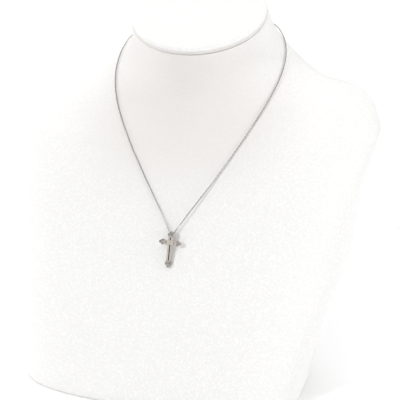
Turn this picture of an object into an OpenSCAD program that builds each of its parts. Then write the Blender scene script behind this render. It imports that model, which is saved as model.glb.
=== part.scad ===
// A fine cable chain with a budded cross pendant, on the neck bust that it hangs on.
// Millimetres, +Z up, the bust faces -Y, the origin is the middle of its flat foot.

/* [Cross] */
// Half the width of the cross, from its middle to the tip of a side bud
side_reach = 6.7; // [6.3:0.1:7.2]
// From the middle of the cross to the tip of the top bud
top_reach = 6.8; // [6.3:0.1:7]
// From the middle of the cross to the tip of the foot bud
foot_reach = 14.9; // [12.5:0.1:15]
// Width of the long lower arm
shaft_w = 3.1; // [2.4:0.1:3.4]
// Width of the top arm and the side arms
arm_w = 2.6; // [2:0.1:2.8]
// Thickness of the arms at their ridge
ridge_t = 1.5; // [1.3:0.05:1.7]
// Thickness of the arms at their edges
edge_t = 0.9; // [0.7:0.05:1.1]

/* [Stones] */
// Width across the stones of the top and side buds
stone_d = 1.16; // [1:0.02:1.16]
// Scale of the foot bud to the other three
foot_scale = 1.18; // [1:0.02:1.2]

/* [Chain and clasp] */
// Thickness of the chain
chain_d = 0.9; // [0.7:0.05:0.95]
// Length of the barrel clasp
clasp_l = 9; // [8:0.5:9.5]
// Thickness of the barrel clasp
clasp_d = 3; // [2.6:0.1:3.2]

/* [Neck bust] */
// Thickness of the cap on the neck
cap_t = 4; // [3:0.5:8]
// Seam between the neck and its cap
cap_seam = 0.3; // [0.2:0.05:0.5]

/* [Hidden] */

// The bust's sections from foot to neck. Each is a rounded outline in a plane that tilts about X:
// height, setback, half width, depth to the front, depth to the back, tilt in degrees, squareness.
HEIGHT = 0;
SETBACK = 1;
HALF_W = 2;
FRONT = 3;
BACK = 4;
TILT = 5;
SQUARE = 6;
SECTIONS = [
    [0, -10.5, 85.5, 49, 70, 0, 2.8],
    [47, 0.5, 94.5, 45, 73.5, 0, 2.7],
    [76.5, 18.5, 103, 53.5, 65, 2, 2.5],
    [122.5, 28.5, 109, 49.5, 64, 5, 2.4],
    [145.5, 47.5, 113.5, 53.5, 49.5, 6.5, 2.2],
    [156, 64, 112.5, 65, 36, 8, 2],
    [172.5, 80, 100, 73.5, 21, 12, 1.9],
    [178.5, 76, 77, 65.5, 24.5, 13.5, 1.9],
    [191, 68, 58.5, 57, 31, 20, 1.95],
    [203.5, 57, 46.5, 49, 36.5, 26, 2],
    [216.5, 44, 42, 42, 42, 28, 2],
];
SECTION_STEPS = 3;
SECTION_SIDES = 72;
NECK = SECTIONS[len(SECTIONS) - 1];
CAP_EDGE = 2;
CAP_FOOT_EDGE = 0.5;
EDGE_STEPS = 5;

// The chain's middle line, from the clasp's right end down to the bail and back up to its left end.
CHAIN_ROUTE = [
    [3.6, 99, 202.1], [6, 98.8, 202.3], [14.7, 94.6, 207.7], [24, 89.7, 211.4], [33.2, 83.6, 212.3],
    [41.4, 76.5, 210.1], [47.7, 68.9, 205], [51.5, 61.1, 198.2], [52.9, 52.8, 190.9],
    [52.5, 44.5, 183.5], [50.7, 36.4, 176.1], [48.2, 28.6, 169], [45.6, 19.7, 162.3],
    [42.7, 11.3, 155.7], [39.3, 3.6, 148.6], [35.4, -3.6, 141.2], [31.1, -10.7, 133.6],
    [26.7, -17.7, 125.8], [21.4, -23, 117.5], [15.7, -26.8, 108.9], [10, -30, 99.7],
    [9, -30.2, 98.5], [8, -30.3, 98.2], [7, -30.2, 98.5], [6, -30, 99.7], [0, -25.6, 108.5],
    [-6.3, -22, 117.3], [-12.6, -17.5, 125.6], [-18.9, -11.6, 133.1], [-25.3, -5.2, 140.2],
    [-31.2, 1.3, 147.5], [-36.9, 8.5, 154.2], [-42.2, 16.5, 160.5], [-47, 25.4, 166.3],
    [-50.8, 33.7, 172.8], [-53.4, 42.2, 180], [-54.3, 50.9, 187.4], [-53.8, 60.1, 194.2],
    [-51.9, 70, 199.5], [-46.4, 79.5, 202.6], [-38, 87, 204.1], [-27.8, 92.3, 204.3],
    [-17, 95.8, 203.5], [-6, 98.8, 202.3], [-3.6, 99, 202.1],
];
CHAIN_SIDES = 8;
CHAIN_LONG_SPAN = 5;
CLASP_AT = [0, 99, 202.1];
CLASP_BORE = 1.7;
CLASP_BORE_DEPTH = 1.3;
CLASP_EDGE = 0.6;

// Where the middle of the cross's back lies, how far its top leans back and how far it hangs askew.
CROSS_AT = [7.86, -32.3, 93.3];
CROSS_LEAN = 6.5;
CROSS_TURN = 1.8;

// One bud is three round lobes: two beside the arm and one at its tip.
BUD_R = 0.9;
BUD_SPREAD = 0.85;
BUD_STEP = 1.25;
BUD_T = 1.5;
BUD_EDGE = 0.2;
SEAT_CLEAR = 0.05;
SEAT_DEPTH = 0.2;
SEAT_END = 0.95;
SEAT_TIP_R = 0.2;
BEAD_R = 0.15;
BEAD_AT = 0.21;
BEADS = 4;
COLLAR_R = 0.3;
COLLAR_GAP = 0.3;
GROOVE_W = 0.6;
GROOVE_D = 0.35;
GROOVE_START = 1.4;
UPPER_GROOVE_END = 2.6;
GROOVE_FOOT_GAP = 1.4;
BAIL_R = 1.35;
BAIL_WIRE_R = 0.35;
BAIL_BEHIND = 1.45;
BAIL_HEIGHT = 4.6;

// Proportions of a cut stone, as shares of its half width.
TABLE_R = 0.56;
CROWN_H = 0.34;
STAR_R = 0.76;
GIRDLE_H = 0.06;
PAVILION_H = 0.86;
STONE_SINK = 0.1;
CUTS = 8;

ROUND = 48;
FINE = 24;

function unit(v) = v / norm(v);
function power_of(v, e) = sign(v) * pow(abs(v), e);

// A curve through q at t = 0 and r at t = 1, with p before them and s after them.
function through(p, q, r, s, t) =
    0.5 * (2 * q + (r - p) * t + (2 * p - 5 * q + 4 * r - s) * t * t + (3 * q - p - 3 * r + s) * t * t * t);
function before(list, i) = i > 0 ? list[i - 1] : 2 * list[0] - list[1];
function after(list, i) = i + 2 < len(list) ? list[i + 2] : 2 * list[i + 1] - list[i];
function on_span(list, i, t) = through(before(list, i), list[i], list[i + 1], after(list, i), t);

function section_point(row, angle) =
    let (e = 2 / row[SQUARE])
    let (across = row[HALF_W] * power_of(cos(angle), e))
    let (depth = (sin(angle) > 0 ? row[BACK] : row[FRONT]) * power_of(sin(angle), e))
    [across, row[SETBACK] + depth * cos(row[TILT]), row[HEIGHT] + depth * sin(row[TILT])];

bust_rows = [
    for (i = [0 : len(SECTIONS) - 2])
        for (j = [0 : SECTION_STEPS - 1])
            on_span(SECTIONS, i, j / SECTION_STEPS),
    NECK,
];

// The sides between rings of n points each, stacked one after another, with both ends closed.
function tube_faces(rings, n) = concat(
    [for (i = [0 : rings - 2]) for (j = [0 : n - 1])
        [i * n + j, (i + 1) * n + j, (i + 1) * n + (j + 1) % n]],
    [for (i = [0 : rings - 2]) for (j = [0 : n - 1])
        [i * n + j, (i + 1) * n + (j + 1) % n, i * n + (j + 1) % n]],
    [[for (j = [0 : n - 1]) j]],
    [[for (j = [n - 1 : -1 : 0]) (rings - 1) * n + j]]
);

module neck_bust() {
    color("WhiteSmoke")
        polyhedron(
            points = [
                for (row = bust_rows)
                    for (k = [0 : SECTION_SIDES - 1])
                        section_point(row, 360 * k / SECTION_SIDES),
            ],
            faces = tube_faces(len(bust_rows), SECTION_SIDES)
        );
}

function corner(centre, r, from, to) = [
    for (k = [0 : EDGE_STEPS])
        let (a = from + (to - from) * k / EDGE_STEPS)
        centre + r * [cos(a), sin(a)],
];

module neck_cap() {
    r = NECK[HALF_W];
    outline = concat(
        [[0, 0]],
        corner([r - CAP_FOOT_EDGE, CAP_FOOT_EDGE], CAP_FOOT_EDGE, -90, 0),
        corner([r - CAP_EDGE, cap_t - CAP_EDGE], CAP_EDGE, 0, 90),
        [[0, cap_t]]
    );
    color("White")
        translate([0, NECK[SETBACK], NECK[HEIGHT]])
            rotate([NECK[TILT], 0, 0])
                translate([0, 0, cap_seam])
                    rotate_extrude($fn = 2 * ROUND)
                        polygon(outline);
}

chain_line = [
    for (i = [0 : len(CHAIN_ROUTE) - 2])
        let (steps = norm(CHAIN_ROUTE[i + 1] - CHAIN_ROUTE[i]) > CHAIN_LONG_SPAN ? 2 : 1)
        for (j = [0 : steps - 1])
            on_span(CHAIN_ROUTE, i, j / steps),
    CHAIN_ROUTE[len(CHAIN_ROUTE) - 1],
];

module chain() {
    last = len(chain_line) - 1;
    color("Silver")
        polyhedron(
            points = [
                for (i = [0 : last])
                    let (along = unit(chain_line[min(i + 1, last)] - chain_line[max(i - 1, 0)]))
                    let (side = unit(cross(along, [0, 0, 1])))
                    let (up = cross(side, along))
                    for (k = [0 : CHAIN_SIDES - 1])
                        let (a = 360 * (k + 0.5) / CHAIN_SIDES)
                        chain_line[i] + chain_d / 2 * (cos(a) * up + sin(a) * side),
            ],
            faces = tube_faces(last + 1, CHAIN_SIDES)
        );
}

module clasp() {
    r = clasp_d / 2;
    half = clasp_l / 2;
    outline = [
        [0, -half], [r - CLASP_EDGE, -half], [r, CLASP_EDGE - half],
        [r, half - CLASP_EDGE], [r - CLASP_EDGE, half], [0, half],
    ];
    color("Silver")
        translate(CLASP_AT)
            rotate([0, 90, 0])
                difference() {
                    rotate_extrude($fn = ROUND)
                        polygon(outline);
                    for (end = [-1, 1])
                        translate([0, 0, end * half])
                            cylinder(h = 2 * CLASP_BORE_DEPTH, d = CLASP_BORE, center = true, $fn = FINE);
                }
}

// Where each arm points, how far its bud's tip reaches, the bud's scale and the arm's width.
ARMS = [
    ["top", 0, top_reach, 1, arm_w],
    ["right", 90, side_reach, 1, arm_w],
    ["foot", 180, foot_reach, foot_scale, shaft_w],
    ["left", -90, side_reach, 1, arm_w],
];
function arm_named(name) = [for (arm = ARMS) if (arm[0] == name) arm][0];
function bud_base(arm) = arm[2] - arm[3] * (BUD_R + BUD_STEP);
// The middles of a bud's lobes, across the arm and along it: left of it, right of it, at its tip.
function lobes(arm) = [
    [-BUD_SPREAD * arm[3], bud_base(arm)],
    [BUD_SPREAD * arm[3], bud_base(arm)],
    [0, bud_base(arm) + BUD_STEP * arm[3]],
];

module on_cross() {
    translate(CROSS_AT)
        rotate([-CROSS_LEAN, CROSS_TURN, 0])
            children();
}

module along_arm(arm) {
    rotate([0, arm[1], 0])
        children();
}

// A shape that stands up from the back plane towards the front, at a lobe.
module at_lobe(lobe) {
    translate([lobe[0], 0, lobe[1]])
        rotate([90, 0, 0])
            children();
}

module arm_bar(arm) {
    w = arm[4];
    linear_extrude(height = bud_base(arm))
        polygon([[-w / 2, 0], [w / 2, 0], [w / 2, -edge_t], [0, -ridge_t], [-w / 2, -edge_t]]);
    translate([0, -edge_t, bud_base(arm) - arm[3] * BUD_R - COLLAR_GAP])
        rotate([0, 90, 0])
            cylinder(h = w, r = COLLAR_R, center = true, $fn = FINE);
}

module bud_lobe(scale_by) {
    r = BUD_R * scale_by;
    cylinder(h = BUD_T - BUD_EDGE, r = r, $fn = ROUND);
    translate([0, 0, BUD_T - BUD_EDGE])
        cylinder(h = BUD_EDGE, r1 = r, r2 = r - BUD_EDGE, $fn = ROUND);
}

module stone_seat(scale_by) {
    r = stone_d / 2 * scale_by + SEAT_CLEAR;
    translate([0, 0, BUD_T - SEAT_DEPTH])
        cylinder(h = 2 * SEAT_DEPTH, r = r, $fn = ROUND);
    translate([0, 0, BUD_T - SEAT_END])
        cylinder(h = SEAT_END - SEAT_DEPTH, r1 = SEAT_TIP_R, r2 = r, $fn = ROUND);
}

module beads(scale_by) {
    out = stone_d / 2 * scale_by + BEAD_AT;
    for (k = [0 : BEADS - 1])
        rotate([0, 0, 360 * (k + 0.5) / BEADS])
            translate([out, 0, BUD_T - BUD_EDGE / 2])
                sphere(r = BEAD_R, $fn = FINE);
}

module groove(from, to) {
    translate([0, 0, from])
        linear_extrude(height = to - from)
            polygon([
                [-GROOVE_W / 2, -ridge_t - GROOVE_D], [GROOVE_W / 2, -ridge_t - GROOVE_D],
                [GROOVE_W / 2, -ridge_t + 0.1], [0, GROOVE_D - ridge_t], [-GROOVE_W / 2, -ridge_t + 0.1],
            ]);
}

module cross_shape() {
    top = arm_named("top");
    foot = arm_named("foot");
    difference() {
        union() {
            for (arm = ARMS)
                along_arm(arm) {
                    arm_bar(arm);
                    for (lobe = lobes(arm))
                        at_lobe(lobe) bud_lobe(arm[3]);
                }
        }
        for (arm = ARMS)
            along_arm(arm)
                for (lobe = lobes(arm))
                    at_lobe(lobe) stone_seat(arm[3]);
        along_arm(foot) groove(GROOVE_START, bud_base(foot) - GROOVE_FOOT_GAP);
        along_arm(top) groove(GROOVE_START, UPPER_GROOVE_END);
    }
    for (arm = ARMS)
        along_arm(arm)
            for (lobe = lobes(arm))
                at_lobe(lobe) beads(arm[3]);
    translate([0, BAIL_BEHIND, BAIL_HEIGHT])
        rotate([0, 90, 0])
            rotate_extrude($fn = ROUND)
                translate([BAIL_R, 0])
                    circle(r = BAIL_WIRE_R, $fn = FINE);
}

module cross_body() {
    color("Silver")
        on_cross() cross_shape();
}

function around(share, r, h, offset) = [
    for (k = [0 : CUTS * share - 1])
        let (a = 360 * (k + offset) / (CUTS * share))
        [r * cos(a), r * sin(a), h],
];

// A round brilliant of half width 1: table, star, main and girdle facets over a pointed pavilion.
STAR_H = CROWN_H * (1 - STAR_R * cos(180 / CUTS)) / (1 - TABLE_R);
STONE_POINTS = concat(
    around(1, TABLE_R, CROWN_H, 0),
    around(1, STAR_R, STAR_H, 0.5),
    around(2, 1, 0, 0),
    around(2, 1, -GIRDLE_H, 0),
    [[0, 0, -GIRDLE_H - PAVILION_H]]
);
function table_i(k) = k % CUTS;
function star_i(k) = CUTS + (k + CUTS) % CUTS;
function girdle_i(k) = 2 * CUTS + (k + 2 * CUTS) % (2 * CUTS);
function lower_i(k) = 4 * CUTS + (k + 2 * CUTS) % (2 * CUTS);
STONE_FACES = concat(
    [[for (k = [CUTS - 1 : -1 : 0]) table_i(k)]],
    [for (k = [0 : CUTS - 1]) [table_i(k), table_i(k + 1), star_i(k)]],
    [for (k = [0 : CUTS - 1]) [table_i(k), star_i(k), girdle_i(2 * k)]],
    [for (k = [0 : CUTS - 1]) [table_i(k), girdle_i(2 * k), star_i(k - 1)]],
    [for (k = [0 : CUTS - 1]) [star_i(k), girdle_i(2 * k + 1), girdle_i(2 * k)]],
    [for (k = [0 : CUTS - 1]) [star_i(k), girdle_i(2 * k + 2), girdle_i(2 * k + 1)]],
    [for (k = [0 : 2 * CUTS - 1]) [girdle_i(k), girdle_i(k + 1), lower_i(k + 1)]],
    [for (k = [0 : 2 * CUTS - 1]) [girdle_i(k), lower_i(k + 1), lower_i(k)]],
    [for (k = [0 : 2 * CUTS - 1]) [lower_i(k), lower_i(k + 1), 6 * CUTS]]
);

// A stone of the named arm's bud, in its lobe 0, 1 or 2.
module stone(arm_name, lobe_number) {
    arm = arm_named(arm_name);
    color("LightSteelBlue")
        on_cross()
            along_arm(arm)
                at_lobe(lobes(arm)[lobe_number])
                    translate([0, 0, BUD_T - STONE_SINK])
                        scale(stone_d / 2 * arm[3])
                            polyhedron(points = STONE_POINTS, faces = STONE_FACES);
}

neck_bust();
neck_cap();
chain();
clasp();
cross_body();  // cross
stone("top", 0);  // stone_top_left
stone("top", 1);  // stone_top_right
stone("top", 2);  // stone_top_tip
stone("right", 0);  // stone_right_upper
stone("right", 1);  // stone_right_lower
stone("right", 2);  // stone_right_tip
stone("foot", 1);  // stone_foot_left
stone("foot", 0);  // stone_foot_right
stone("foot", 2);  // stone_foot_tip
stone("left", 1);  // stone_left_upper
stone("left", 0);  // stone_left_lower
stone("left", 2);  // stone_left_tip
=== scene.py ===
import math

import bmesh
import bpy
import numpy as np
from mathutils import Matrix, Vector


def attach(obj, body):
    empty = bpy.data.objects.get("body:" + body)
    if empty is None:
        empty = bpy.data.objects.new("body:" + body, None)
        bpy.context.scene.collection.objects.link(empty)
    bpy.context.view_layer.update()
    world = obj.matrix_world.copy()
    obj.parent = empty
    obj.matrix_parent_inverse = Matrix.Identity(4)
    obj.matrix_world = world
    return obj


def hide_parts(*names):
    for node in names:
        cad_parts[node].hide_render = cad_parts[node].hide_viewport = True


# The part's own sizes are in millimetres, as in its source. MM turns them into metres.
MM = 0.001
BODY = "root"

# The bust's sections from foot to neck, each a rounded outline in a plane that tilts about X:
# height, setback, half width, depth to the front, depth to the back, tilt in degrees, squareness.
HEIGHT, SETBACK, HALF_W, FRONT, BACK, TILT, SQUARE = range(7)
SECTIONS = np.array([
    [0, -10.5, 85.5, 49, 70, 0, 2.8],
    [47, 0.5, 94.5, 45, 73.5, 0, 2.7],
    [76.5, 18.5, 103, 53.5, 65, 2, 2.5],
    [122.5, 28.5, 109, 49.5, 64, 5, 2.4],
    [145.5, 47.5, 113.5, 53.5, 49.5, 6.5, 2.2],
    [156, 64, 112.5, 65, 36, 8, 2],
    [172.5, 80, 100, 73.5, 21, 12, 1.9],
    [178.5, 76, 77, 65.5, 24.5, 13.5, 1.9],
    [191, 68, 58.5, 57, 31, 20, 1.95],
    [203.5, 57, 46.5, 49, 36.5, 26, 2],
    [216.5, 44, 42, 42, 42, 28, 2],
])
NECK = SECTIONS[-1]

# The chain's middle line, from the clasp's right end down to the bail and back up to its left end.
CHAIN_ROUTE = np.array([
    [3.6, 99, 202.1], [6, 98.8, 202.3], [14.7, 94.6, 207.7], [24, 89.7, 211.4], [33.2, 83.6, 212.3],
    [41.4, 76.5, 210.1], [47.7, 68.9, 205], [51.5, 61.1, 198.2], [52.9, 52.8, 190.9], [52.5, 44.5, 183.5],
    [50.7, 36.4, 176.1], [48.2, 28.6, 169], [45.6, 19.7, 162.3], [42.7, 11.3, 155.7], [39.3, 3.6, 148.6],
    [35.4, -3.6, 141.2], [31.1, -10.7, 133.6], [26.7, -17.7, 125.8], [21.4, -23, 117.5],
    [15.7, -26.8, 108.9], [10, -30, 99.7], [9, -30.2, 98.5], [8, -30.3, 98.2], [7, -30.2, 98.5],
    [6, -30, 99.7], [0, -25.6, 108.5], [-6.3, -22, 117.3], [-12.6, -17.5, 125.6], [-18.9, -11.6, 133.1],
    [-25.3, -5.2, 140.2], [-31.2, 1.3, 147.5], [-36.9, 8.5, 154.2], [-42.2, 16.5, 160.5],
    [-47, 25.4, 166.3], [-50.8, 33.7, 172.8], [-53.4, 42.2, 180], [-54.3, 50.9, 187.4],
    [-53.8, 60.1, 194.2], [-51.9, 70, 199.5], [-46.4, 79.5, 202.6], [-38, 87, 204.1],
    [-27.8, 92.3, 204.3], [-17, 95.8, 203.5], [-6, 98.8, 202.3], [-3.6, 99, 202.1],
])

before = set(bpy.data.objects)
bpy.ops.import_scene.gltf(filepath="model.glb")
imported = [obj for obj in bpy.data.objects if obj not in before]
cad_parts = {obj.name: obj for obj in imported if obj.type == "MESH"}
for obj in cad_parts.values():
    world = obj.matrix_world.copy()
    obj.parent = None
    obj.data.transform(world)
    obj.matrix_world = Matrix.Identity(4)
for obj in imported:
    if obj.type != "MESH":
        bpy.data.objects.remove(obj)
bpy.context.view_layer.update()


def curve_through(rows, steps):
    """Rows of a smooth curve through the given rows, with that many steps from each to the next."""
    padded = np.vstack([2 * rows[0] - rows[1], rows, 2 * rows[-1] - rows[-2]])
    t = (np.arange(steps) / steps)[:, None]
    spans = [
        0.5 * (2 * q + (r - p) * t + (2 * p - 5 * q + 4 * r - s) * t**2 + (3 * q - p - 3 * r + s) * t**3)
        for p, q, r, s in zip(padded, padded[1:], padded[2:], padded[3:])
    ]
    return np.vstack([*spans, rows[-1:]])


def power_of(v, e):
    return np.sign(v) * np.abs(v) ** e


def section_ring(row, sides, inward=0.0):
    """The points of one section's outline, moved inward by that much."""
    a = 2 * math.pi * np.arange(sides) / sides
    e = 2 / row[SQUARE]
    depth = np.where(np.sin(a) > 0, row[BACK], row[FRONT]) - inward
    back = depth * power_of(np.sin(a), e)
    tilt = math.radians(row[TILT])
    return np.stack([
        (row[HALF_W] - inward) * power_of(np.cos(a), e),
        row[SETBACK] + back * math.cos(tilt),
        row[HEIGHT] + back * math.sin(tilt),
    ], axis=1)


def mesh_object(name, points, faces):
    """A new smooth object in the scene from points in millimetres."""
    mesh = bpy.data.meshes.new(name)
    mesh.from_pydata((np.asarray(points) * MM).tolist(), [], faces)
    mesh.validate()
    mesh.polygons.foreach_set("use_smooth", [True] * len(mesh.polygons))
    mesh.update()
    piece = bpy.data.objects.new(name, mesh)
    bpy.context.scene.collection.objects.link(piece)
    return piece


def ring_faces(rings, n):
    """The sides between rings of n points each, stacked one after another, and the two ends."""
    faces = [
        (i * n + j, i * n + (j + 1) % n, (i + 1) * n + (j + 1) % n, (i + 1) * n + j)
        for i in range(rings - 1) for j in range(n)
    ]
    faces.append(tuple(range(n - 1, -1, -1)))
    faces.append(tuple(range((rings - 1) * n, rings * n)))
    return faces


def dress(piece, material, slot, *nodes):
    """Gives a piece its material, hides the nodes that it stands for, and lets it ride. The slot is not
    used.
    """
    piece.data.materials.clear()
    piece.data.materials.append(material)
    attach(piece, BODY)
    if nodes:
        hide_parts(*nodes)
    return piece


BUST_SIDES = 288
BUST_STEPS = 9
BUST_INSET = 0.08
FOOT_EDGE = 1.6
NECK_EDGE = 0.6
EDGE_STEPS = 6


def neck_frame():
    """Turns a point of the neck's own plane into a point of the part."""
    tilt = Matrix.Rotation(math.radians(NECK[TILT]), 3, "X")
    place = np.array([0, NECK[SETBACK], NECK[HEIGHT]])
    return lambda points: points @ np.array(tilt).T + place


def make_bust(material):
    """The bust in one: a rounded foot edge, the sections from foot to neck, and a rounded neck edge."""
    rings = []
    for k in range(EDGE_STEPS + 1):
        a = math.pi / 2 * k / EDGE_STEPS
        ring = section_ring(SECTIONS[0], BUST_SIDES, BUST_INSET + FOOT_EDGE * (1 - math.sin(a)))
        ring[:, 2] += FOOT_EDGE * (1 - math.cos(a))
        rings.append(ring)
    rows = curve_through(SECTIONS, BUST_STEPS)
    rows = [row for row in rows[1:-1] if row[HEIGHT] > 2 * FOOT_EDGE]
    rings += [section_ring(row, BUST_SIDES, BUST_INSET) for row in rows]
    in_part = neck_frame()
    t = 2 * math.pi * np.arange(BUST_SIDES) / BUST_SIDES
    for k in range(EDGE_STEPS + 1):
        a = math.pi / 2 * k / EDGE_STEPS
        r = NECK[HALF_W] - BUST_INSET - NECK_EDGE * (1 - math.cos(a))
        h = -NECK_EDGE * (1 - math.sin(a))
        rings.append(in_part(np.stack([r * np.cos(t), r * np.sin(t), np.full(BUST_SIDES, h)], axis=1)))
    piece = mesh_object("bust_cover", np.vstack(rings), ring_faces(len(rings), BUST_SIDES))
    return dress(piece, material, "leatherette", "neck_bust")


CAP_T = 4.0
CAP_SEAM = 0.3
CAP_EDGE = 2.2
CAP_FOOT_EDGE = 0.9
CAP_CROWN_STEPS = 14


def make_cap(material):
    """The neck's cap: a disc with a small foot edge and a wide rounded top edge."""
    r = NECK[HALF_W] - BUST_INSET
    outline = []
    for k in range(EDGE_STEPS + 1):
        a = math.pi / 2 * k / EDGE_STEPS
        outline.append((r - CAP_FOOT_EDGE * (1 - math.sin(a)), CAP_FOOT_EDGE * (1 - math.cos(a))))
    for k in range(2 * EDGE_STEPS + 1):
        a = math.pi / 2 * k / (2 * EDGE_STEPS)
        outline.append((r - CAP_EDGE * (1 - math.cos(a)), CAP_T - CAP_EDGE * (1 - math.sin(a))))
    for k in range(1, CAP_CROWN_STEPS):
        outline.append(((r - CAP_EDGE) * (1 - k / CAP_CROWN_STEPS), CAP_T))
    t = 2 * math.pi * np.arange(BUST_SIDES) / BUST_SIDES
    in_part = neck_frame()
    rings = [
        in_part(np.stack([x * np.cos(t), x * np.sin(t), np.full(BUST_SIDES, CAP_SEAM + z)], axis=1))
        for x, z in outline
    ]
    piece = mesh_object("cap_cover", np.vstack(rings), ring_faces(len(rings), BUST_SIDES))
    return dress(piece, material, "leatherette", "neck_cap")


LINK_PITCH = 1.15
LINK_WIDTH = 0.88
LINK_WIRE = 0.27
LINK_STEPS = 14
LINK_SIDES = 6
ROUTE_STEPS = 24


def link_shape():
    """One link as rings round its wire, its length along X and its width along Y."""
    r = (LINK_WIDTH - LINK_WIRE) / 2
    straight = LINK_PITCH + 2 * LINK_WIRE - LINK_WIDTH
    path = []
    half = LINK_STEPS // 2
    for k in range(LINK_STEPS):
        end = 1 if k < half else -1
        a = math.pi * ((k % half) / (half - 1) - 0.5) + (0 if end > 0 else math.pi)
        path.append(((end * straight / 2 + r * math.cos(a), r * math.sin(a)), (math.cos(a), math.sin(a))))
    points = []
    for (x, y), (nx, ny) in path:
        for j in range(LINK_SIDES):
            b = 2 * math.pi * (j + 0.5) / LINK_SIDES
            out = LINK_WIRE / 2 * math.cos(b)
            points.append((x + out * nx, y + out * ny, LINK_WIRE / 2 * math.sin(b)))
    faces = []
    for k in range(LINK_STEPS):
        n = (k + 1) % LINK_STEPS
        for j in range(LINK_SIDES):
            m = (j + 1) % LINK_SIDES
            faces.append((k * LINK_SIDES + j, n * LINK_SIDES + j, n * LINK_SIDES + m, k * LINK_SIDES + m))
    return np.array(points), faces


def make_chain(material):
    """Every link of the chain along its route, each a quarter turn from the one before it."""
    line = curve_through(CHAIN_ROUTE, ROUTE_STEPS)
    run = np.concatenate([[0], np.cumsum(np.linalg.norm(np.diff(line, axis=0), axis=1))])
    count = int(run[-1] / LINK_PITCH)
    pitch = run[-1] / count
    shape, shape_faces = link_shape()
    points, faces = [], []
    for i in range(count):
        at = (i + 0.5) * pitch
        centre, ahead, behind = (
            np.array([np.interp(s, run, line[:, c]) for c in range(3)])
            for s in (at, at + pitch / 2, at - pitch / 2)
        )
        along = Vector(ahead - behind).normalized()
        side = along.cross(Vector((0, 0, 1))).normalized()
        turn = Matrix.Rotation(math.radians(45 if i % 2 else -45), 3, along)
        across = turn @ side
        axes = np.array([along, across, along.cross(across)])
        base = len(points) * len(shape)
        points.append(shape @ axes + centre)
        faces += [tuple(base + v for v in f) for f in shape_faces]
    piece = mesh_object("chain_links", np.vstack(points), faces)
    return dress(piece, material, "silver", "chain")


CORNER_STEPS = 3


def rounded(outline, cut):
    """A closed outline with each corner rounded off, from that far before it to that far after it."""
    points = []
    for i, here in enumerate(outline):
        ends = []
        for other in (outline[i - 1], outline[(i + 1) % len(outline)]):
            way = np.subtract(other, here)
            ends.append(here + way / np.linalg.norm(way) * cut)
        for k in range(CORNER_STEPS + 1):
            t = k / CORNER_STEPS
            points.append((1 - t) ** 2 * ends[0] + 2 * t * (1 - t) * np.array(here) + t * t * ends[1])
    return np.array(points)


def bar(outline, start, end):
    """A straight bar along Z between two heights. Its section runs against the clock in X and Y."""
    n = len(outline)
    points = np.vstack([np.column_stack([outline, np.full(n, z)]) for z in (start, end)])
    return points, ring_faces(2, n)


def turned(profile, sides):
    """A closed turned shape about Z from rows of radius and height, lowest first."""
    t = 2 * math.pi * np.arange(sides) / sides
    points = np.vstack([
        np.column_stack([r * np.cos(t), r * np.sin(t), np.full(sides, h)]) for r, h in profile
    ])
    return points, ring_faces(len(profile), sides)


def hoop(radius, wire, sides, wire_sides):
    """A ring about Z."""
    points, faces = [], []
    for i in range(sides):
        a = 2 * math.pi * i / sides
        for j in range(wire_sides):
            b = 2 * math.pi * j / wire_sides
            r = radius + wire * math.cos(b)
            points.append((r * math.cos(a), r * math.sin(a), wire * math.sin(b)))
            n, m = (i + 1) % sides, (j + 1) % wire_sides
            faces.append((i * wire_sides + j, n * wire_sides + j, n * wire_sides + m, i * wire_sides + m))
    return np.array(points), faces


def moved(shape, place):
    points, faces = shape
    place = np.array(place)
    return points @ place[:3, :3].T + place[:3, 3], faces


def together(shapes):
    points, faces, base = [], [], 0
    for p, f in shapes:
        points.append(p)
        faces += [tuple(base + v for v in face) for face in f]
        base += len(p)
    return np.vstack(points), faces


def scratch_object(shape):
    points, faces = shape
    mesh = bpy.data.meshes.new("scratch")
    mesh.from_pydata(points.tolist(), [], faces)
    scratch = bpy.data.objects.new("scratch", mesh)
    bpy.context.scene.collection.objects.link(scratch)
    return scratch


# The solver can leave the same point twice, closer together than this.
DOUBLED = 0.001


def carved(base, steps):
    """The base shape after each step, a pair of an operation and a shape. Gives points and faces."""
    body = scratch_object(base)
    tools = []
    for operation, shape in steps:
        tool = scratch_object(shape)
        cut = body.modifiers.new("cut", "BOOLEAN")
        cut.operation = operation
        cut.solver = "MANIFOLD"
        cut.object = tool
        tools.append(tool)
    result = bmesh.new()
    result.from_mesh(body.evaluated_get(bpy.context.evaluated_depsgraph_get()).to_mesh())
    bmesh.ops.remove_doubles(result, verts=result.verts, dist=DOUBLED)
    result.verts.index_update()
    points = np.array([v.co[:] for v in result.verts])
    faces = [tuple(v.index for v in f.verts) for f in result.faces]
    result.free()
    for scratch in (body, *tools):
        bpy.data.objects.remove(scratch)
    return points, faces


# The cross, as in the part's source: where the middle of its back lies, how far its top leans back and
# how far it hangs askew, then the sizes of its arms and buds.
CROSS_AT = Vector((7.86, -32.3, 93.3))
CROSS_LEAN = 6.5
CROSS_TURN = 1.8
SIDE_REACH = 6.7
TOP_REACH = 6.8
FOOT_REACH = 14.9
SHAFT_W = 3.1
ARM_W = 2.6
RIDGE_T = 1.5
EDGE_T = 0.9
STONE_D = 1.16
FOOT_SCALE = 1.18
LOBES = 3
BUD_R = 0.9
BUD_SPREAD = 0.85
BUD_STEP = 1.25
BUD_T = 1.5
BUD_EDGE = 0.2
SEAT_CLEAR = 0.05
SEAT_DEPTH = 0.2
SEAT_END = 0.95
SEAT_TIP_R = 0.2
BEAD_R = 0.15
BEAD_AT = 0.21
BEADS = 4
BAIL_R = 1.35
BAIL_WIRE_R = 0.35
BAIL_BEHIND = 1.45
BAIL_HEIGHT = 4.6

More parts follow.
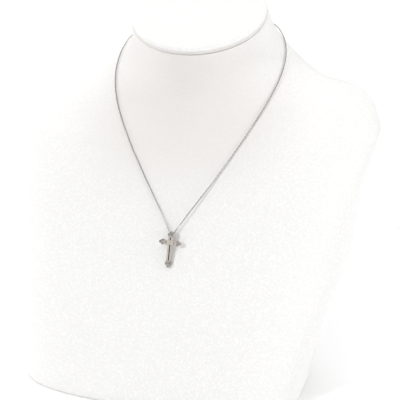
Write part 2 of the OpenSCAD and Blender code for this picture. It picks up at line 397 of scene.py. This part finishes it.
# What the source leaves plain: rounded arrises, roof-shaped collars, and cuts across the ridges.
ARRIS = 0.12
COLLAR_L = 0.62
COLLAR_PROUD = 0.14
GROOVE_HALF_W = 0.38
GROOVE_D = 0.52
GROOVE_START = 1.4
GROOVE_TO_COLLAR = 0.35
NOTCH_HALF_W = 0.32
NOTCH_D = 0.58
NOTCH_AT = 2.35

# How far the arms reach past the crossing, how far a cutting shape stands out of what it cuts, and the
# finish of the lobes, beads and bail.
ARM_OVERLAP = 0.4
CUT_OVER = 0.4
LOBE_FOOT_EDGE = 0.06
LOBE_EDGE_STEPS = 4
COLLAR_BEFORE_LOBE = 0.8
COLLAR_FRONT = 0.8
ROUND = 40
BEAD_ROUND = 12
BEAD_STEPS = 8
BAIL_ROUND = 48
BAIL_WIRE_ROUND = 16
CROSS_SHARP = 32

# Each arm's turn about Y, how far its bud's tip reaches, its bud's scale and its width.
ARMS = {
    "top": (0, TOP_REACH, 1, ARM_W),
    "right": (90, SIDE_REACH, 1, ARM_W),
    "foot": (180, FOOT_REACH, FOOT_SCALE, SHAFT_W),
    "left": (-90, SIDE_REACH, 1, ARM_W),
}


def bud_base(arm):
    _, reach, scale, _ = ARMS[arm]
    return reach - scale * (BUD_R + BUD_STEP)


def collar_end(arm):
    return bud_base(arm) - ARMS[arm][2] * BUD_R * COLLAR_BEFORE_LOBE


def on_arm(arm):
    return Matrix.Rotation(math.radians(ARMS[arm][0]), 4, "Y")


def on_lobe(arm, number):
    """The place of a lobe of the arm's bud: left of the arm, right of it, or at its tip."""
    scale = ARMS[arm][2]
    x = (-BUD_SPREAD, BUD_SPREAD, 0)[number] * scale
    z = bud_base(arm) + (0, 0, BUD_STEP)[number] * scale
    return on_arm(arm) @ Matrix.Translation((x, 0, z)) @ Matrix.Rotation(math.radians(90), 4, "X")


def roof(width, proud=0.0):
    """The section of an arm: flat behind, with two slopes that meet in a ridge in front."""
    w = width / 2 + proud
    front = proud * COLLAR_FRONT
    return [(-w, 0), (-w, -EDGE_T - front), (0, -RIDGE_T - front), (w, -EDGE_T - front), (w, 0)]


def collar_shape(width, end):
    return bar(rounded(roof(width, COLLAR_PROUD), ARRIS), end - COLLAR_L, end)


def lobe_shape(scale):
    r = BUD_R * scale
    profile = [(r - LOBE_FOOT_EDGE, 0), (r, LOBE_FOOT_EDGE), (r, BUD_T - BUD_EDGE)]
    for k in range(1, LOBE_EDGE_STEPS + 1):
        a = math.pi / 2 * k / LOBE_EDGE_STEPS
        profile.append((r - BUD_EDGE * (1 - math.cos(a)), BUD_T - BUD_EDGE * (1 - math.sin(a))))
    return turned(profile, ROUND)


def seat_shape(scale):
    r = STONE_D / 2 * scale + SEAT_CLEAR
    profile = [(SEAT_TIP_R, BUD_T - SEAT_END), (r, BUD_T - SEAT_DEPTH), (r, BUD_T + SEAT_DEPTH)]
    return turned(profile, ROUND)


def bead_shapes(scale):
    """The small beads that hold one stone."""
    out = STONE_D / 2 * scale + BEAD_AT
    angles = [math.pi * k / BEAD_STEPS for k in range(1, BEAD_STEPS)]
    ball = turned([(BEAD_R * math.sin(a), -BEAD_R * math.cos(a)) for a in angles], BEAD_ROUND)
    shapes = []
    for k in range(BEADS):
        a = 2 * math.pi * (k + 0.5) / BEADS
        place = Matrix.Translation((out * math.cos(a), out * math.sin(a), BUD_T - BUD_EDGE / 2))
        shapes.append(moved(ball, place))
    return together(shapes)


def groove_shape(start, end):
    """A V cut along the ridge."""
    top = -RIDGE_T - CUT_OVER
    w = GROOVE_HALF_W * (GROOVE_D + CUT_OVER) / GROOVE_D
    return bar([(-w, top), (w, top), (0, GROOVE_D - RIDGE_T)], start, end)


def notch_shape(at):
    """A V cut across the ridge, which leaves slanting edges on both slopes."""
    top = -RIDGE_T - CUT_OVER
    w = NOTCH_HALF_W * (NOTCH_D + CUT_OVER) / NOTCH_D
    outline = [(top, w), (top, -w), (NOTCH_D - RIDGE_T, 0)]
    flat = bar(outline, -SHAFT_W, SHAFT_W)
    across = Matrix(((0, 0, 1, 0), (1, 0, 0, 0), (0, 1, 0, at), (0, 0, 0, 1)))
    return moved(flat, across)


def make_cross(material):
    """The cast cross: arms, collars and buds in one, with cut seats, grooves, beads and the bail."""
    arms = {
        name: moved(bar(rounded(roof(arm[3]), ARRIS), -ARM_OVERLAP, bud_base(name)), on_arm(name))
        for name, arm in ARMS.items()
    }
    collars = together([
        moved(collar_shape(arm[3], collar_end(name)), on_arm(name)) for name, arm in ARMS.items()
    ])
    lobes = [
        together([moved(lobe_shape(arm[2]), on_lobe(name, i)) for name, arm in ARMS.items()])
        for i in range(LOBES)
    ]
    seats = together([
        moved(seat_shape(arm[2]), on_lobe(name, i)) for name, arm in ARMS.items() for i in range(LOBES)
    ])
    beads = [
        together([moved(bead_shapes(arm[2]), on_lobe(name, i)) for name, arm in ARMS.items()])
        for i in range(LOBES)
    ]
    grooves = together([
        moved(groove_shape(GROOVE_START, collar_end(name) - COLLAR_L - GROOVE_TO_COLLAR), on_arm(name))
        for name in ("top", "foot")
    ])
    notches = together([moved(notch_shape(NOTCH_AT), on_arm(name)) for name in ("right", "left")])
    hang = Matrix.Translation((0, BAIL_BEHIND, BAIL_HEIGHT)) @ Matrix.Rotation(math.radians(90), 4, "Y")
    bail = moved(hoop(BAIL_R, BAIL_WIRE_R, BAIL_ROUND, BAIL_WIRE_ROUND), hang)
    steps = [("UNION", arms[name]) for name in ("right", "left", "top")]
    steps += [("DIFFERENCE", grooves), ("DIFFERENCE", notches), ("UNION", collars)]
    steps += [("UNION", shape) for shape in lobes]
    steps += [("DIFFERENCE", seats)]
    steps += [("UNION", shape) for shape in beads]
    steps += [("UNION", bail)]
    shape = carved(arms["foot"], steps)
    lean = Matrix.Rotation(-math.radians(CROSS_LEAN), 4, "X")
    askew = Matrix.Rotation(math.radians(CROSS_TURN), 4, "Y")
    points, faces = moved(shape, Matrix.Translation(CROSS_AT) @ askew @ lean)
    piece = mesh_object("cross_body", points, faces)
    piece.data.set_sharp_from_angle(angle=math.radians(CROSS_SHARP))
    flats = piece.modifiers.new("flats", "WEIGHTED_NORMAL")
    flats.keep_sharp = True
    return dress(piece, material, "silver", "cross")


def node_tree(name):
    material = bpy.data.materials.new(name)
    material.use_nodes = True
    tree = material.node_tree
    return material, tree, tree.nodes["Principled BSDF"]


def texture(tree, place, kind, **inputs):
    """A new texture node fed by the given coordinates. Names of inputs use _ for a space."""
    node = tree.nodes.new("ShaderNodeTex" + kind)
    tree.links.new(place, node.inputs["Vector"])
    for name, value in inputs.items():
        node.inputs[name.replace("_", " ")].default_value = value
    return node


def ramp(tree, fac, *stops):
    """A colour ramp from pairs of position and colour."""
    node = tree.nodes.new("ShaderNodeValToRGB")
    tree.links.new(fac, node.inputs["Fac"])
    elements = node.color_ramp.elements
    for element, (position, colour) in zip(elements, stops):
        element.position = position
        element.color = (*colour, 1)
    return node.outputs["Color"]


# The cover carries painted shade, a darker and warmer tone, round the neck and over the cap's edge,
# where its grain is also smoother. Each place is the painted shade's tone, a ball's centre, the two
# distances between which the cover changes, and how much of the plain grain and tone there is inside the
# ball and outside it.
NECK_SHADE_AND_SMOOTHING = ((0.742, 0.709, 0.681, 1), Vector((-2, 25, 162)), 31, 90, 0.35, 1)
CAP_SHADE_AND_SMOOTHING = ((0.7, 0.679, 0.66, 1), Vector((0, 42.9, 218.5)), 41.5, 42, 1, 0.1)


def leatherette(name, shade_and_smoothing):
    """White leatherette with a pebbled grain, darkened and warmed by painted shade and smoothed, by
    distance from a centre.
    """
    material, tree, shader = node_tree(name)
    link = tree.links.new
    place = tree.nodes.new("ShaderNodeTexCoord").outputs["Object"]
    pebbles = texture(tree, place, "Voronoi", Scale=880)
    pebbles.feature = "SMOOTH_F1"
    pebbles.inputs["Smoothness"].default_value = 0.5
    creases = texture(tree, place, "Noise", Scale=620, Detail=4, Roughness=0.6)
    swell = texture(tree, place, "Noise", Scale=38, Detail=2)
    height = tree.nodes.new("ShaderNodeMath")
    height.operation = "MULTIPLY_ADD"
    link(pebbles.outputs["Distance"], height.inputs[0])
    height.inputs[1].default_value = -0.7
    link(creases.outputs["Fac"], height.inputs[2])
    grain = tree.nodes.new("ShaderNodeBump")
    grain.inputs["Distance"].default_value = 0.00012
    link(height.outputs[0], grain.inputs["Height"])
    soft = tree.nodes.new("ShaderNodeBump")
    soft.inputs["Strength"].default_value = 0.12
    soft.inputs["Distance"].default_value = 0.0006
    link(swell.outputs["Fac"], soft.inputs["Height"])
    link(grain.outputs["Normal"], soft.inputs["Normal"])
    link(soft.outputs["Normal"], shader.inputs["Normal"])
    tone = ramp(tree, height.outputs[0], (0.08, (0.838, 0.833, 0.825)), (0.42, (0.9, 0.896, 0.889)))
    painted_shade_tone, centre, near, far, inside, outside = shade_and_smoothing
    away = tree.nodes.new("ShaderNodeVectorMath")
    away.operation = "DISTANCE"
    away.inputs[1].default_value = centre * MM
    link(place, away.inputs[0])
    plain = tree.nodes.new("ShaderNodeMapRange")
    plain.interpolation_type = "SMOOTHSTEP"
    plain.inputs["From Min"].default_value = near * MM
    plain.inputs["From Max"].default_value = far * MM
    plain.inputs["To Min"].default_value = inside
    plain.inputs["To Max"].default_value = outside
    link(away.outputs["Value"], plain.inputs["Value"])
    link(plain.outputs["Result"], grain.inputs["Strength"])
    # Painted shade: blends the darker, warmer shade tone over the grain's own tone.
    cover = tree.nodes.new("ShaderNodeMix")
    cover.data_type = "RGBA"
    link(plain.outputs["Result"], cover.inputs["Factor"])
    cover.inputs["A"].default_value = painted_shade_tone
    link(tone, cover.inputs["B"])
    link(cover.outputs["Result"], shader.inputs["Base Color"])
    gloss = tree.nodes.new("ShaderNodeMapRange")
    gloss.inputs["To Min"].default_value = 0.5
    gloss.inputs["To Max"].default_value = 0.68
    link(creases.outputs["Fac"], gloss.inputs["Value"])
    link(gloss.outputs["Result"], shader.inputs["Roughness"])
    shader.inputs["Specular IOR Level"].default_value = 0.35
    return material


def silver(name, reach, shine):
    """Polished silver, darker and duller in its recesses, with fine wear in its gloss."""
    material, tree, shader = node_tree(name)
    link = tree.links.new
    place = tree.nodes.new("ShaderNodeTexCoord").outputs["Object"]
    wear = texture(tree, place, "Noise", Scale=2600, Detail=4)
    hollow = tree.nodes.new("ShaderNodeAmbientOcclusion")
    hollow.only_local = True
    hollow.samples = 8
    hollow.inputs["Distance"].default_value = reach
    patina = tree.nodes.new("ShaderNodeMath")
    patina.operation = "MULTIPLY_ADD"
    patina.inputs[1].default_value = 0.12
    link(wear.outputs["Fac"], patina.inputs[0])
    link(hollow.outputs["AO"], patina.inputs[2])
    tone = ramp(tree, patina.outputs[0], (0.6, (0.022, 0.019, 0.016)), (1.0, shine))
    link(tone, shader.inputs["Base Color"])
    gloss = tree.nodes.new("ShaderNodeMapRange")
    gloss.inputs["To Min"].default_value = 0.16
    gloss.inputs["To Max"].default_value = 0.34
    link(wear.outputs["Fac"], gloss.inputs["Value"])
    link(gloss.outputs["Result"], shader.inputs["Roughness"])
    shader.inputs["Metallic"].default_value = 1.0
    return material


def cut_stone():
    """A clear cut stone, faintly cloudy and with a polish that isn't quite even."""
    material, tree, shader = node_tree("clear_stone")
    link = tree.links.new
    place = tree.nodes.new("ShaderNodeTexCoord").outputs["Object"]
    cloud = texture(tree, place, "Noise", Scale=1800, Detail=2)
    tone = ramp(tree, cloud.outputs["Fac"], (0.3, (0.36, 0.345, 0.325)), (0.7, (0.7, 0.68, 0.65)))
    link(tone, shader.inputs["Base Color"])
    gloss = tree.nodes.new("ShaderNodeMapRange")
    gloss.inputs["To Min"].default_value = 0.01
    gloss.inputs["To Max"].default_value = 0.06
    link(cloud.outputs["Fac"], gloss.inputs["Value"])
    link(gloss.outputs["Result"], shader.inputs["Roughness"])
    shader.inputs["IOR"].default_value = 2.15
    shader.inputs["Transmission Weight"].default_value = 0.85
    return material


# The view: where the camera looks, how far off it is, and the photograph's frame.
CAMERA_TARGET = Vector((8.8, 26.2, 104.85))
CAMERA_TURN = 15.2
CAMERA_RISE = 14.35
CAMERA_ROLL = 1.9
CAMERA_DISTANCE = 760
CAMERA_FOCAL_PX = 1220
FRAME_PX = 400
SENSOR_MM = 36


def towards(turn, rise):
    """The direction to something seen at that turn to the right of the front and that rise."""
    turn, rise = math.radians(turn), math.radians(rise)
    return Vector((math.sin(turn) * math.cos(rise), -math.cos(turn) * math.cos(rise), math.sin(rise)))


def add_camera():
    back = towards(CAMERA_TURN, CAMERA_RISE)
    turn = math.radians(CAMERA_TURN)
    level = Vector((math.cos(turn), math.sin(turn), 0))
    roll = Matrix.Rotation(-math.radians(CAMERA_ROLL), 3, -back)
    right = roll @ level
    up = back.cross(right)
    data = bpy.data.cameras.new("camera")
    data.sensor_width = SENSOR_MM
    data.lens = CAMERA_FOCAL_PX / FRAME_PX * SENSOR_MM
    data.clip_start = 0.01
    data.clip_end = 50
    camera = bpy.data.objects.new("camera", data)
    camera.matrix_world = Matrix((right, up, back)).transposed().to_4x4()
    camera.location = (CAMERA_TARGET + back * CAMERA_DISTANCE) * MM
    bpy.context.scene.collection.objects.link(camera)
    bpy.context.scene.camera = camera


# Half the floor's side, in metres.
FLOOR_HALF = 6.0


def add_floor():
    mesh = bpy.data.meshes.new("floor")
    corners = [(x * FLOOR_HALF, y * FLOOR_HALF, 0) for x, y in ((-1, -1), (1, -1), (1, 1), (-1, 1))]
    mesh.from_pydata(corners, [], [(0, 1, 2, 3)])
    floor = bpy.data.objects.new("floor", mesh)
    bpy.context.scene.collection.objects.link(floor)
    material, _, shader = node_tree("pale_floor")
    shader.inputs["Base Color"].default_value = (0.92, 0.92, 0.92, 1)
    shader.inputs["Roughness"].default_value = 0.9
    shader.inputs["Emission Color"].default_value = (1, 1, 1, 1)
    shader.inputs["Emission Strength"].default_value = FLOOR_GLOW
    mesh.materials.append(material)


# The studio: soft lights as name, turn, rise, spread in degrees and strength. The key is the small one,
# which draws the fine shadow beside the chain.
SOFT_LIGHTS = [
    ("overhead", 0, 88, 60, 1.03),
    ("front", -2, 48, 30, 0.3),
    ("key", -30, 24, 3.5, 1.07),
    ("left_low", -90, 12, 30, 0.8),
    ("left_back", -145, 42, 45, 1.0),
    ("right", 60, 45, 40, 0.33),
    ("right_low", 84, 12, 30, 1.3),
    ("right_back", 140, 40, 40, 0.35),
]
WORLD_GLOW = 0.12
FLOOR_GLOW = 0.05


def add_studio():
    world = bpy.data.worlds.new("studio")
    bpy.context.scene.world = world
    world.use_nodes = True
    background = world.node_tree.nodes["Background"]
    background.inputs["Color"].default_value = (1, 1, 1, 1)
    background.inputs["Strength"].default_value = WORLD_GLOW
    for name, turn, rise, spread, strength in SOFT_LIGHTS:
        data = bpy.data.lights.new(name, "SUN")
        data.angle = math.radians(spread)
        data.energy = strength
        lamp = bpy.data.objects.new(name, data)
        lamp.rotation_mode = "QUATERNION"
        lamp.rotation_quaternion = towards(turn, rise).to_track_quat("Z", "Y")
        bpy.context.scene.collection.objects.link(lamp)
    bpy.context.scene.view_settings.view_transform = "Standard"


CLASP_AT = Vector((0, 99, 202.1))
CLASP_L = 9.0
CLASP_R = 1.5
CLASP_BORE_R = 0.85
CLASP_BORE_DEPTH = 1.3
CLASP_ROUND = 48
CLASP_SHARP = 40


def make_clasp(material):
    """The barrel clasp: two turned halves with a fine joint between them and a rim at each end."""
    half = CLASP_L / 2
    profile = [
        (CLASP_BORE_R, -half), (CLASP_R - 0.55, -half), (CLASP_R - 0.25, 0.1 - half),
        (CLASP_R - 0.12, 0.3 - half), (CLASP_R - 0.12, 0.6 - half), (CLASP_R - 0.3, 0.75 - half),
        (CLASP_R - 0.3, 0.95 - half), (CLASP_R - 0.06, 1.2 - half), (CLASP_R, 1.5 - half),
        (CLASP_R, -0.16), (CLASP_R - 0.08, -0.08), (CLASP_R - 0.22, 0),
    ]
    profile += [(r, -h) for r, h in reversed(profile[:-1])]
    outside = turned(profile, CLASP_ROUND)
    bores = together([
        turned([(CLASP_BORE_R, low), (CLASP_BORE_R, low + 2 * CLASP_BORE_DEPTH)], CLASP_ROUND)
        for low in (-half - CLASP_BORE_DEPTH, half - CLASP_BORE_DEPTH)
    ])
    points, faces = carved(outside, [("DIFFERENCE", bores)])
    place = Matrix.Translation(CLASP_AT) @ Matrix.Rotation(math.radians(90), 4, "Y")
    points, faces = moved((points, faces), place)
    piece = mesh_object("clasp_barrel", points, faces)
    piece.data.set_sharp_from_angle(angle=math.radians(CLASP_SHARP))
    return dress(piece, material, "silver", "clasp")


metal = silver("polished_silver", 0.0009, (0.575, 0.53, 0.483))
chain_metal = silver("chain_silver", 0.0005, (0.44, 0.415, 0.385))
stone = cut_stone()
make_bust(leatherette("neck_leatherette", NECK_SHADE_AND_SMOOTHING))
make_cap(leatherette("cap_leatherette", CAP_SHADE_AND_SMOOTHING))
make_chain(chain_metal)
make_clasp(metal)
make_cross(metal)
for name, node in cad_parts.items():
    if name.startswith("stone_"):
        for holder in node.material_slots:
            holder.material = stone

add_camera()
add_floor()
add_studio()
